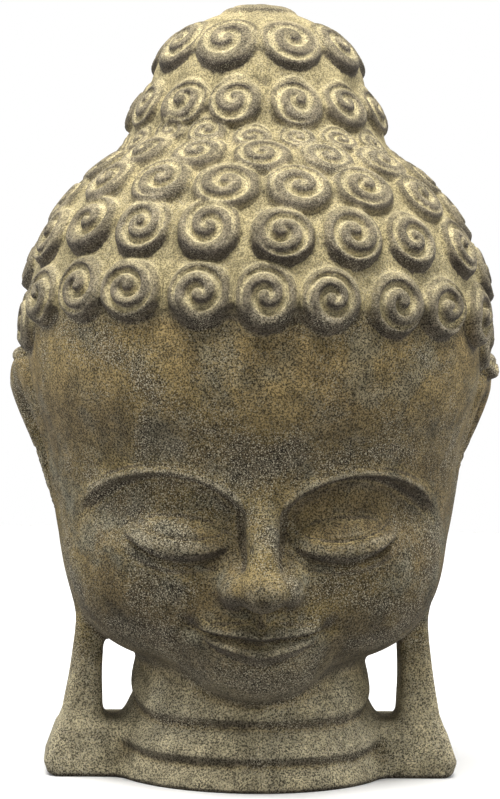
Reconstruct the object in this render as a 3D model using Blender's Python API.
"""A cast-stone head with snail-shell curls, a two-tier crown bun, long ears and a flared neck foot.

Metres, +Z up, face towards -Y, origin under the middle of the foot. The head is one casting, so it is one
object. Rough balls and blocks are fused into one skin. Every point of that skin then moves onto the form that
the functions below describe, the curls are raised on it, and the flat places are thinned out. Last, the foot
is cut level.
"""

import math

import bmesh
import bpy
import numpy as np
from mathutils import Matrix

NODE = "buddha_head"
STONE_COLOUR = (0.235, 0.200, 0.125, 1.0)
STONE_ROUGHNESS = 0.9

# Neck and foot
NECK_HALF_WIDTH = 0.0625
NECK_HALF_DEPTH = 0.062
NECK_BACKSET = 0.006
FOOT_SPREAD = 0.0165
FOOT_HEIGHT = 0.052
FOLD_RELIEF = 0.0046
FOLD_HEIGHTS = (0.0310, 0.0505)
FOLD_DIP = 0.0115
FOOT_EDGE = 0.0030

# Skull, and the angle by which the face is bowed about the skull's centre
SKULL_HEIGHT = 0.240
SKULL_BACKSET = 0.006
SKULL_HALF_WIDTH = 0.1245
SKULL_HALF_DEPTH = 0.121
SKULL_HALF_HEIGHT = 0.1165
SKULL_FULLNESS = 2.13
BOW = math.radians(8.0)

# Face: the hairline, brow, nose and chin are a third apart, and the face is five eyes wide
FACE_THIRD = 0.060
EYE_SHARE = 0.75

# Crown bun: a tier sunk into the skull's top, and a cap on it
BUN_BACKSET = 0.014
BUN_RADIUS = 0.0700
BUN_SINK = 0.0465
BUN_HEIGHT = 0.066
BUN_ROUNDING = 0.018
BUN_DRAW = 0.22
CAP_RADIUS = 0.0580
CAP_HEIGHT = 0.0425

# Curls
SCALP_RELIEF = 0.0020
CURL_RELIEF = 0.0066
CURL_RADIUS = 0.0178
SPIRAL_PITCH = 0.52
GROOVE_SHARE = 0.62
ROW_TILT = 2.0

# Ears, and the blocks that the lobes stand on
EAR_DROP = 0.012
EAR_STAND = 0.0165
EAR_THICKNESS = 0.022
EAR_HALF_DEPTH = 0.026
LOBE_HALF_DEPTH = 0.0165
EAR_CARVING = 0.0080
BLOCK_HEIGHT = 0.030
BLOCK_MARGIN = 0.0064
BLOCK_HALF_DEPTH = 0.0235

# Fineness
BLOCKING_STEP = 0.0036
CARVING_STEP = 0.0020
FINISHED_TRIANGLES = 9700

SKULL_CENTRE = np.array([0.0, SKULL_BACKSET, SKULL_HEIGHT])
SKULL_RADII = (SKULL_HALF_WIDTH, SKULL_HALF_DEPTH, SKULL_HALF_HEIGHT)
NAPE_CENTRE = SKULL_CENTRE + (0.0, 0.13 * SKULL_HALF_DEPTH, -0.65 * SKULL_HALF_HEIGHT)
NAPE_RADII = (0.70 * SKULL_HALF_WIDTH, 0.55 * SKULL_HALF_DEPTH, 0.66 * SKULL_HALF_HEIGHT)
NECK_TOP = 0.62 * SKULL_HEIGHT
BUN_BOTTOM_RISE = SKULL_HALF_HEIGHT - BUN_SINK
BUN_TOP_RISE = BUN_BOTTOM_RISE + BUN_HEIGHT
CAP_MIDDLE_RISE = BUN_TOP_RISE - 0.3 * BUN_ROUNDING
CAP_TOP_RISE = BUN_TOP_RISE + CAP_HEIGHT
EAR_TOP = SKULL_HEIGHT - EAR_DROP
EAR_REACH = SKULL_HALF_WIDTH + EAR_STAND

# The face's round masses: centre and radii across, up and forward, in thirds of the face
OVAL = ((0, -1.36, 0.30), (1.82, 1.62, 1.56))
JAW = ((0.86, -2.14, 0.44), (0.70, 0.62, 0.80))
CHEEK = ((0.84, -1.92, 1.02), (0.66, 0.64, 0.62))
MUZZLE = ((0, -2.26, 1.34), (0.74, 0.64, 0.55))
CHIN = ((0, -2.66, 1.43), (0.46, 0.33, 0.42))
NOSE_TIP = ((0, -1.865, 2.130), (0.185, 0.160, 0.175))
NOSE_WING = ((0.225, -1.885, 1.900), (0.150, 0.155, 0.230))
NOSTRIL = ((0.140, -2.050, 1.980), (0.075, 0.070, 0.100))


def ramp(value, low, high):
    """0 below low, 1 above high, and an S between them."""
    t = np.clip((value - low) / (high - low), 0.0, 1.0)
    return t * t * (3 - 2 * t)


def bell(value, width):
    return np.exp(-((value / width) ** 2))


def join(a, b, width):
    """The union of two distances, with a fillet about width across."""
    h = np.clip(0.5 + 0.5 * (b - a) / width, 0.0, 1.0)
    return b + (a - b) * h - width * h * (1 - h)


def track(value, stations):
    """A smooth curve through (place, amount) stations."""
    places, amounts = np.array(stations).T
    slopes = np.gradient(amounts, places)
    value = np.clip(value, places[0], places[-1])
    i = np.clip(np.searchsorted(places, value, side="right") - 1, 0, len(places) - 2)
    span = places[i + 1] - places[i]
    t = (value - places[i]) / span
    rise = t * t * (3 - 2 * t)
    bend = t * (1 - t) * span * ((1 - t) * slopes[i] - t * slopes[i + 1])
    return amounts[i] + (amounts[i + 1] - amounts[i]) * rise + bend


def ellipsoid(x, y, z, centre, radii, fullness=2.0):
    """Distance to an ellipsoid, or with more fullness to one with squarer shoulders."""
    x, y, z = (np.abs(v - c) / radius for v, c, radius in zip((x, y, z), centre, radii))
    near = (x ** fullness + y ** fullness + z ** fullness) ** (1 / fullness)
    power = fullness - 1
    slope = np.sqrt(sum((v ** power / radius) ** 2 for v, radius in zip((x, y, z), radii)))
    return near ** power * (near - 1.0) / np.maximum(slope, 1e-6)


def rounded_box(x, y, z, rounding):
    """x, y and z are how far each point lies beyond the box's walls, less the rounding."""
    out = np.sqrt(np.maximum(x, 0) ** 2 + np.maximum(y, 0) ** 2 + np.maximum(z, 0) ** 2)
    return out + np.minimum(np.maximum(x, np.maximum(y, z)), 0) - rounding


def tapered_rod(x, y, z, start, end, start_radius, end_radius):
    way = np.subtract(end, start)
    from_start = np.stack([x - start[0], y - start[1], z - start[2]], axis=-1)
    t = np.clip(from_start @ way / (way @ way), 0.0, 1.0)
    gap = np.linalg.norm(from_start - t[:, None] * way, axis=1)
    return gap - (start_radius + (end_radius - start_radius) * t)


def face_axes(p):
    """Across, up and forward from the skull's centre in the bowed head, in thirds of the face."""
    back, up = p[:, 1] - SKULL_CENTRE[1], p[:, 2] - SKULL_CENTRE[2]
    across = p[:, 0]
    along = up * math.cos(BOW) - back * math.sin(BOW)
    forward = -back * math.cos(BOW) - up * math.sin(BOW)
    return across / FACE_THIRD, along / FACE_THIRD, forward / FACE_THIRD


def neck(p):
    x, y, z = p[:, 0], p[:, 1] - NECK_BACKSET, p[:, 2]
    flare = FOOT_SPREAD * (1 - ramp(z, -0.25 * FOOT_HEIGHT, FOOT_HEIGHT)) / 0.9
    wide, deep = NECK_HALF_WIDTH + flare, NECK_HALF_DEPTH + 0.85 * flare
    wall = (np.hypot(x / wide, y / deep) - 1) * np.minimum(wide, deep)
    front = ramp(-y / deep, -0.8, 0.8)
    level = z + FOLD_DIP * (2 * front - 1)
    crest = 0.16 * FOOT_HEIGHT
    for fold in FOLD_HEIGHTS:
        off = level - fold
        fold_shape = np.where(off < 0, bell(off, 0.45 * crest), bell(off, 1.3 * crest))
        wall = wall - FOLD_RELIEF * (0.4 + 0.6 * front) * fold_shape
    return np.maximum(wall, z - NECK_TOP)


def blocks(p):
    """The square blocks at both sides of the foot, drawn in a little towards their tops."""
    x, y, z = np.abs(p[:, 0]), p[:, 1] - NECK_BACKSET / 3, p[:, 2]
    belly = 0.27 * BLOCK_HEIGHT
    reach = EAR_REACH * EAR_OUTLINE[0][1] + BLOCK_MARGIN - 0.35 * np.abs(z - belly)
    rounding = 0.30 * BLOCK_HEIGHT
    deep = BLOCK_HALF_DEPTH + 0.10 * (BLOCK_HEIGHT - z)
    return rounded_box(
        x - reach + rounding, np.abs(y) - deep + rounding, z - BLOCK_HEIGHT + rounding, rounding
    )


# At shares of the ear's height: shares of its reach, its thickness and its half depth
EAR_OUTLINE = (
    (0.0, 0.761), (0.08, 0.725), (0.17, 0.703), (0.29, 0.688), (0.44, 0.709),
    (0.57, 0.789), (0.72, 0.866), (0.90, 0.972), (1.0, 1.0),
)
EAR_THICKENING = ((0.0, 1.05), (0.15, 0.80), (0.33, 0.80), (0.5, 1.2), (1.0, 2.0))
EAR_SWEEP = ((0.0, -0.30), (0.17, -0.25), (0.33, -0.15), (0.57, 0.10), (0.82, 0.50), (1.0, 0.65))


def ear_section(rise):
    """Outer and inner face, middle and half depth at a share of the ear's height."""
    outer = EAR_REACH * track(rise, EAR_OUTLINE)
    inner = outer - EAR_THICKNESS * track(rise, EAR_THICKENING)
    middle = SKULL_BACKSET + EAR_HALF_DEPTH * track(rise, EAR_SWEEP)
    half = LOBE_HALF_DEPTH + (EAR_HALF_DEPTH - LOBE_HALF_DEPTH) * ramp(rise, 0.30, 0.72)
    return outer, inner, middle, half


def ears(p):
    x, y = np.abs(p[:, 0]), p[:, 1]
    rise = (p[:, 2] - BLOCK_HEIGHT) / (EAR_TOP - BLOCK_HEIGHT)
    outer, inner, middle, half = ear_section(rise)
    across = (middle + half - y) / (2 * half)
    lean = 0.62 * EAR_THICKNESS * ramp(rise, 0.34, 0.90)
    outer = outer - lean * np.clip(across, 0, 1)
    # The hollow inside the rim, the ridge in it, and the slot down the lobe
    crown = np.hypot((across - 0.5) / 0.5, np.maximum(rise - 0.72, 0) / 0.28)
    foot = np.maximum(0.52 - rise, 0) / 0.12
    hollow = 1 - ramp(np.hypot(crown, foot), 0.50, 0.80)
    ridge = bell(across - 0.42 - 0.22 * np.sin(7.5 * (rise - 0.50)), 0.105) * ramp(rise, 0.50, 0.60)
    slot = bell(across - 0.5, 0.16) * ramp(rise, 0.05, 0.11) * (1 - ramp(rise, 0.31, 0.39))
    outer = outer - EAR_CARVING * (hollow * (1 - 0.72 * ridge) + 0.6 * slot)
    rounding = 0.32 * EAR_THICKNESS
    top = EAR_TOP - 0.75 * EAR_HALF_DEPTH * np.clip((y - middle) / half, -1.2, 1.2) ** 2
    return rounded_box(
        np.abs(x - (outer + inner) / 2) - (outer - inner) / 2 + rounding,
        np.abs(y - middle) - half + rounding,
        np.maximum(p[:, 2] - top, 0.8 * BLOCK_HEIGHT - p[:, 2]) + rounding,
        rounding,
    )


def brows_and_eyes(x, up):
    """Relief in thirds, at a place given in thirds."""
    x = np.abs(x)
    inside = 0.86 - np.hypot(x - 0.82, up + 1.78)
    over = ramp(up, -1.74, -1.34) * (1 - ramp(x, 1.24, 1.72))
    relief = -0.100 * ramp(inside, -0.015, 0.055) * (1 - ramp(inside, 0.08, 0.56)) * over
    relief = relief + 0.036 * bell(inside + 0.030, 0.040) * over
    # The lid's edge sags from its inner corner and climbs to its outer one
    t = (x - 0.48 * EYE_SHARE) / (1.04 * EYE_SHARE)
    edge = -1.575 - 0.40 * t + 0.46 * t * t
    span = ramp(t, -0.12, 0.10) * (1 - ramp(t, 0.92, 1.14))
    ball = np.clip(1 - ((t - 0.51) / 0.66) ** 2 - ((up + 1.545) / 0.25) ** 2, 0, 1)
    lid = ramp(up - edge, -0.020, 0.010)
    relief = relief + 0.070 * ball ** 1.5 + 0.052 * ball ** 0.7 * lid
    relief = relief - 0.030 * bell(up - edge + 0.030, 0.024) * span
    relief = relief + 0.008 * bell(up - edge + 0.085, 0.034) * span
    fold = edge + 0.190 - 0.22 * (t - 0.5) ** 2
    return relief - 0.018 * bell(up - fold, 0.022) * span


def lips(x, up):
    """Relief in thirds, at a place given in thirds."""
    side = np.abs(x)
    half = 0.80 * EYE_SHARE
    u = np.clip(side / half, 0, 1.3)
    part = -2.345 + 0.070 * u * u - 0.020 * bell(side, 0.10)
    full = np.clip(1 - u * u, 0, 1) * (1 + 0.6 * u * u)
    top = part + (0.150 + 0.020 * bell(side - 0.12, 0.08) - 0.022 * bell(side, 0.055)) * full
    bottom = part - 0.205 * np.clip(1 - (u / 0.95) ** 2, 0, 1)
    above = np.clip((up - part) / np.maximum(top - part, 2e-3), 0, 1)
    below = np.clip((part - up) / np.maximum(part - bottom, 2e-3), 0, 1)
    upper = 0.46 * (top - part) * np.sin(math.pi * above) * (1 + 0.45 * np.cos(math.pi * above))
    lower = 0.50 * (part - bottom) * np.sin(math.pi * below) * (1 + 0.35 * np.cos(math.pi * below))
    relief = np.where(up > part, upper, lower)
    relief = relief + 0.035 * np.clip(1 - (side / 0.75) ** 2 - ((up + 2.37) / 0.36) ** 2, 0, 1)
    relief = relief - 0.022 * bell(up - part, 0.030) * (1 - ramp(u, 0.90, 1.14))
    relief = relief - 0.045 * bell(np.hypot(side - 1.03 * half, up - part - 0.01), 0.080)
    groove = ramp(up - top, -0.02, 0.05) * (1 - ramp(up, -2.10, -2.00))
    return relief - 0.026 * bell(x, 0.060) * groove


def nose(x, up, forward):
    side = np.abs(x)
    bridge = tapered_rod(x, up, forward, (0, -1.06, 1.75), (0, -1.84, 2.12), 0.120, 0.145)
    tip = ellipsoid(x, up, forward, *NOSE_TIP)
    whole = join(join(bridge, tip, 0.14), ellipsoid(side, up, forward, *NOSE_WING), 0.11)
    return -join(-whole, ellipsoid(side, up, forward, *NOSTRIL), 0.05)


def cranium(p):
    """Skull and nape in one."""
    skull = ellipsoid(p[:, 0], p[:, 1], p[:, 2], SKULL_CENTRE, SKULL_RADII, SKULL_FULLNESS)
    nape = ellipsoid(p[:, 0], p[:, 1], p[:, 2], NAPE_CENTRE, NAPE_RADII)
    return join(skull, nape, 0.25 * SKULL_HALF_DEPTH)


def head(p):
    x, up, forward = face_axes(p)
    side = np.abs(x)
    flesh = join(ellipsoid(x, up, forward, *OVAL), ellipsoid(side, up, forward, *JAW), 0.50)
    flesh = join(flesh, ellipsoid(side, up, forward, *CHEEK), 0.45)
    flesh = join(flesh, ellipsoid(x, up, forward, *MUZZLE), 0.45)
    flesh = join(flesh, ellipsoid(x, up, forward, *CHIN), 0.32)
    mass = join(cranium(p), flesh * FACE_THIRD, 0.32 * FACE_THIRD)
    return join(mass, nose(x, up, forward) * FACE_THIRD, 0.12 * FACE_THIRD)


def bun(p):
    x, y, z = p[:, 0], p[:, 1] - SKULL_BACKSET - BUN_BACKSET, p[:, 2] - SKULL_HEIGHT
    rise = (BUN_BOTTOM_RISE + BUN_TOP_RISE) / 2
    beyond_side = np.hypot(x, y) - BUN_RADIUS + BUN_DRAW * (z - rise) + BUN_ROUNDING
    beyond_top = z - BUN_TOP_RISE + BUN_ROUNDING
    tier = rounded_box(beyond_side, beyond_top, BUN_BOTTOM_RISE - z, BUN_ROUNDING)
    cap = ellipsoid(
        x, y, z, (0, 0, CAP_MIDDLE_RISE), (CAP_RADIUS, CAP_RADIUS, CAP_TOP_RISE - CAP_MIDDLE_RISE)
    )
    return join(tier, cap, 0.3 * BUN_ROUNDING)


def hairy_form(p):
    """What the curls are laid out on."""
    return join(cranium(p), bun(p), 0.010)


def smooth_form(p):
    """The casting before its curls are raised."""
    body = join(head(p), bun(p), 0.010)
    body = join(body, neck(p), 0.009)
    body = join(body, blocks(p), 0.006)
    body = join(body, ears(p), 0.006)
    low = np.clip(1 - p[:, 2] / FOOT_EDGE, 0.0, 1.0)
    return body + FOOT_EDGE * (1 - np.sqrt(1 - low * low))


# Of each row: height angle in front, how far it falls to the back, number in a full ring, first bearing,
# share of the curl radius, share of the relief, and the bearing where it begins
CURL_ROWS = (
    (10.7, 20.0, 22, -1.0, 0.94, 1.12, 0.0),
    (26.8, 19.5, 19, 3.7, 0.95, 0.96, 0.0),
    (40.3, 16.5, 16, 9.4, 0.96, 0.80, 0.0),
    (51.5, 13.0, 14, -2.0, 0.88, 0.66, 0.0),
    (60.2, 8.0, 16, -6.5, 0.62, 0.42, 0.0),
    (-5.0, 18.5, 20, 9.0, 0.97, 0.90, 110.0),
    (-19.5, 19.0, 18, 0.0, 0.96, 0.85, 119.0),
    (-34.0, 19.0, 16, 12.0, 0.93, 0.80, 126.0),
)
# Of each row on the bun: height angle seen from its middle, number, first bearing, and the same two shares
BUN_ROWS = ((19.5, 13, -12.8, 0.84, 0.66), (50.0, 9, 17.5, 0.98, 0.60), (90.0, 1, 0.0, 1.15, 0.45))


def row_drop(bearing, fall):
    """How far a row sinks at a bearing: a dip at the temples, and its whole fall at the back."""
    away = np.abs((bearing + 180) % 360 - 180)
    return fall * ((1 - np.cos(np.radians(away))) / 2) ** 2 + 6.0 * bell(away - 90, 18.0)


def hair_cover(p):
    """1 where hair grows: level over the brow, behind the ears and down to the nape."""
    d = p - SKULL_CENTRE
    bearing = np.degrees(np.arctan2(d[:, 0], -d[:, 1]))
    lift = np.degrees(np.arctan2(d[:, 2], np.hypot(d[:, 0], d[:, 1])))
    edge = 7.0 - row_drop(bearing, 20.0) - 50.0 * ramp(np.abs(bearing), 98.0, 128.0)
    return ramp(lift - edge, -2.0, 2.0)


def outward(shape, p, step=5e-5):
    slope = np.empty_like(p)
    for axis in range(3):
        shift = np.zeros(3)
        shift[axis] = step
        slope[:, axis] = (shape(p + shift) - shape(p - shift)) / (2 * step)
    return slope


def leave_surface(shape, starts, ways):
    """Where rays from inside leave the shape."""
    near, far = np.full(len(ways), 0.02), np.full(len(ways), 2 * SKULL_HALF_WIDTH)
    for _ in range(40):
        middle = (near + far) / 2
        within = shape(starts + ways * middle[:, None]) < 0
        near, far = np.where(within, middle, near), np.where(within, far, middle)
    return starts + ways * near[:, None]


def lay_out_curls():
    """Each curl's centre, outward normal, radius, relief, hand, starting angle, pitch and squash.

    The rows run a little downhill towards the left ear, and no two curls are quite alike.
    """
    chance = np.random.default_rng(7)
    starts, ways, sizes, reliefs = [], [], [], []

    def lay(start, bearing, lift, size, relief):
        off_bearing, off_lift, off_size, off_relief = chance.uniform(-1, 1, 4)
        b, a = math.radians(bearing + 1.1 * off_bearing), math.radians(lift + 0.6 * off_lift)
        starts.append(start)
        ways.append((math.cos(a) * math.sin(b), -math.cos(a) * math.cos(b), math.sin(a)))
        sizes.append(size * CURL_RADIUS * (1 + 0.035 * off_size))
        reliefs.append(relief * CURL_RELIEF * (1 + 0.10 * off_relief))

    for lift, fall, number, first, size, relief, begins in CURL_ROWS:
        for i in range(number):
            bearing = (first + 360.0 * i / number + 180) % 360 - 180
            if abs(bearing) < begins:
                continue
            flatter = 1 - 0.35 * bell(abs(bearing) - 90, 22.0) * bell(lift - 8, 14.0)
            larger = 1 + 0.08 * float(ramp(abs(bearing), 100, 160))
            drop = float(row_drop(bearing, fall)) + ROW_TILT * math.sin(math.radians(bearing))
            lay(SKULL_CENTRE, bearing, lift - drop, size * larger, relief * flatter)
    for lift, number, first, size, relief in BUN_ROWS:
        for i in range(number):
            start = SKULL_CENTRE + (0, BUN_BACKSET, (BUN_BOTTOM_RISE + BUN_TOP_RISE) / 2)
            lay(start, first + 360.0 * i / number, lift, size, relief)
    places = leave_surface(hairy_form, np.array(starts), np.array(ways))
    normals = outward(hairy_form, places)
    normals /= np.linalg.norm(normals, axis=1)[:, None]
    hands = np.where(chance.random(len(places)) < 0.7, 1.0, -1.0)
    turns = chance.uniform(0, 1, len(places))
    pitches = chance.uniform(0.93, 1.14, len(places)) * SPIRAL_PITCH
    squashes = chance.uniform(0.95, 1.05, len(places))
    return list(zip(places, normals, sizes, reliefs, hands, turns, pitches, squashes))


def raise_curls(points):
    """How high the curls stand over the scalp at each point: a round boss with a spiral groove in it."""
    relief = np.zeros(len(points))
    for place, normal, radius, height, hand, turn, pitch, squash in lay_out_curls():
        d = points - place
        close = np.flatnonzero(np.einsum("ij,ij->i", d, d) < (1.2 * radius) ** 2)
        d = d[close]
        across = np.cross(normal, (0.0, 0.0, 1.0) if abs(normal[2]) < 0.95 else (0.0, 1.0, 0.0))
        across /= np.linalg.norm(across)
        above = np.cross(across, normal)
        a, b = d @ across * squash, d @ above / squash
        r = np.hypot(a, b) / radius
        angle = (hand * np.arctan2(b, a) / (2 * math.pi) - turn) % 1.0
        boss = np.clip(1 - (np.maximum(r - 0.55, 0) / 0.47) ** 2, 0, 1) ** 0.58
        boss = boss * (0.86 + 0.14 * np.clip(1 - r, 0, 1))
        groove = (0.5 + 0.5 * np.cos(2 * math.pi * ((0.98 - r) / pitch - angle))) ** 3.2
        groove = groove * ramp(r, 0.05, 0.20) * (1 - ramp(r, 0.72, 0.84))
        relief[close] = np.maximum(relief[close], height * boss * (1 - GROOVE_SHARE * groove))
    return relief


def raise_features(points):
    """How high the brows, eyes and lips stand at each point of the face. The nose is left as it is."""
    x, up, forward = face_axes(points)
    beside_nose = ramp(nose(x, up, forward), 0.01, 0.09)
    front = ramp(forward, 0.4, 1.1)
    return FACE_THIRD * front * beside_nose * (brows_and_eyes(x, up) + lips(x, up))


def points_of(mesh):
    p = np.empty(len(mesh.vertices) * 3)
    mesh.vertices.foreach_get("co", p)
    return p.reshape(-1, 3)


def settle(mesh, rounds, reach):
    """Moves each vertex onto the smooth form, at most reach in a round."""
    p = points_of(mesh)
    for _ in range(rounds):
        slope = outward(smooth_form, p)
        steepness = np.maximum(np.einsum("ij,ij->i", slope, slope), 0.1)
        move = slope * (smooth_form(p) / steepness)[:, None]
        length = np.linalg.norm(move, axis=1)
        p -= move * np.minimum(1.0, reach / np.maximum(length, 1e-9))[:, None]
    mesh.vertices.foreach_set("co", p.ravel())
    mesh.update()


def add_ball(centre, radii, bow=0.0):
    bpy.ops.mesh.primitive_uv_sphere_add(segments=48, ring_count=24, radius=1.0)
    place = Matrix.Translation(centre) @ Matrix.Rotation(bow, 4, "X") @ Matrix.Diagonal((*radii, 1.0))
    bpy.context.object.data.transform(place)


def add_face_ball(centre, radii):
    """A ball whose centre and radii are across, up and forward in the face's thirds, and its mirror image."""
    x, up, forward = (FACE_THIRD * c for c in centre)
    y = -forward * math.cos(BOW) - up * math.sin(BOW)
    z = up * math.cos(BOW) - forward * math.sin(BOW)
    for side in (-1, 1) if x else (1,):
        place = SKULL_CENTRE + (side * x, y, z)
        add_ball(place, [FACE_THIRD * radii[i] for i in (0, 2, 1)], BOW)


def block_out():
    """Overlapping balls and blocks, close to the finished form."""
    add_ball(SKULL_CENTRE, SKULL_RADII)
    add_ball(NAPE_CENTRE, NAPE_RADII)
    for centre, radii in (OVAL, JAW, CHEEK, MUZZLE, CHIN, NOSE_WING, NOSE_TIP):
        add_face_ball(centre, radii)
    add_face_ball((0, -1.60, 1.85), (0.20, 0.50, 0.30))
    middle = SKULL_CENTRE + (0, BUN_BACKSET, 0)
    bpy.ops.mesh.primitive_cylinder_add(
        vertices=64, radius=BUN_RADIUS, depth=BUN_HEIGHT,
        location=middle + (0, 0, BUN_BOTTOM_RISE + BUN_HEIGHT / 2),
    )
    add_ball(middle + (0, 0, CAP_MIDDLE_RISE), (CAP_RADIUS, CAP_RADIUS, CAP_TOP_RISE - CAP_MIDDLE_RISE))
    below = 0.3 * BLOCK_HEIGHT
    bpy.ops.mesh.primitive_cylinder_add(
        vertices=64, radius=NECK_HALF_WIDTH, depth=NECK_TOP + below,
        location=(0, NECK_BACKSET, (NECK_TOP - below) / 2),
    )
    bpy.ops.mesh.primitive_cone_add(
        vertices=64, radius1=NECK_HALF_WIDTH + FOOT_SPREAD, radius2=NECK_HALF_WIDTH,
        depth=FOOT_HEIGHT, location=(0, NECK_BACKSET, FOOT_HEIGHT / 2),
    )
    bpy.ops.mesh.primitive_cylinder_add(
        vertices=64, radius=NECK_HALF_WIDTH + FOOT_SPREAD, depth=below,
        location=(0, NECK_BACKSET, -below / 2 + 0.05 * below),
    )
    block_reach = EAR_REACH * EAR_OUTLINE[0][1] + BLOCK_MARGIN
    for side in (-1, 1):
        bpy.ops.mesh.primitive_cube_add(
            size=1.0, location=(side * block_reach * 0.72, NECK_BACKSET / 3, (BLOCK_HEIGHT - below) / 2)
        )
        size = (block_reach * 0.50, 2 * BLOCK_HALF_DEPTH, BLOCK_HEIGHT + below)
        bpy.context.object.data.transform(Matrix.Diagonal((*size, 1.0)))
        steps = 24
        for step in range(steps + 1):
            add_ear_ball(side, step / steps)


def add_ear_ball(side, rise):
    outer, inner, middle, half = ear_section(rise)
    height = BLOCK_HEIGHT + (EAR_TOP - BLOCK_HEIGHT) * min(rise, 0.93)
    add_ball((side * (outer + inner) / 2, middle, height), ((outer - inner) / 2, half, 0.6 * EAR_THICKNESS))


def apply_modifier(name, kind, **settings):
    casting = bpy.context.object
    modifier = casting.modifiers.new(name, kind)
    for setting, value in settings.items():
        setattr(modifier, setting, value)
    bpy.ops.object.modifier_apply(modifier=modifier.name)


def cut_level(mesh):
    """Cuts the foot off at the ground and closes it with one flat face."""
    cast = bmesh.new()
    cast.from_mesh(mesh)
    everything = cast.verts[:] + cast.edges[:] + cast.faces[:]
    bmesh.ops.bisect_plane(
        cast, geom=everything, plane_co=(0, 0, 0), plane_no=(0, 0, 1), dist=1e-5, clear_inner=True
    )
    rim = [edge for edge in cast.edges if edge.is_boundary]
    bmesh.ops.holes_fill(cast, edges=rim, sides=0)
    for vertex in cast.verts:
        if abs(vertex.co.z) < 2e-5:
            vertex.co.z = 0.0
    bmesh.ops.triangulate(cast, faces=[face for face in cast.faces if len(face.verts) > 3])
    bmesh.ops.recalc_face_normals(cast, faces=cast.faces)
    cast.to_mesh(mesh)
    cast.free()


def centre_on_foot(mesh):
    p = points_of(mesh)
    low, high = p.min(axis=0), p.max(axis=0)
    mesh.transform(Matrix.Translation((-(low[0] + high[0]) / 2, -(low[1] + high[1]) / 2, 0)))


def stone():
    material = bpy.data.materials.new("cast_stone")
    material.use_nodes = True
    shader = material.node_tree.nodes["Principled BSDF"]
    shader.inputs["Base Color"].default_value = STONE_COLOUR
    shader.inputs["Roughness"].default_value = STONE_ROUGHNESS
    shader.inputs["Metallic"].default_value = 0.0
    return material


def cast_head():
    for old in list(bpy.data.objects):
        bpy.data.objects.remove(old, do_unlink=True)
    block_out()
    bpy.ops.object.select_all(action="SELECT")
    bpy.ops.object.join()
    bpy.ops.object.transform_apply()
    casting = bpy.context.object
    casting.name = casting.data.name = NODE
    apply_modifier("Fuse", "REMESH", mode="VOXEL", voxel_size=BLOCKING_STEP)
    settle(casting.data, 5, 1.5 * BLOCKING_STEP)
    apply_modifier("Skin", "REMESH", mode="VOXEL", voxel_size=CARVING_STEP)
    settle(casting.data, 3, CARVING_STEP)
    p = points_of(casting.data)
    normals = outward(smooth_form, p)
    normals /= np.linalg.norm(normals, axis=1)[:, None]
    relief = raise_curls(p) + raise_features(p) + SCALP_RELIEF * hair_cover(p)
    p += normals * relief[:, None]
    casting.data.vertices.foreach_set("co", p.ravel())
    casting.data.calc_loop_triangles()
    ratio = FINISHED_TRIANGLES / len(casting.data.loop_triangles)
    apply_modifier("Thin", "DECIMATE", ratio=ratio)
    cut_level(casting.data)
    centre_on_foot(casting.data)
    casting.data.materials.append(stone())
    bpy.ops.object.shade_smooth()


cast_head()
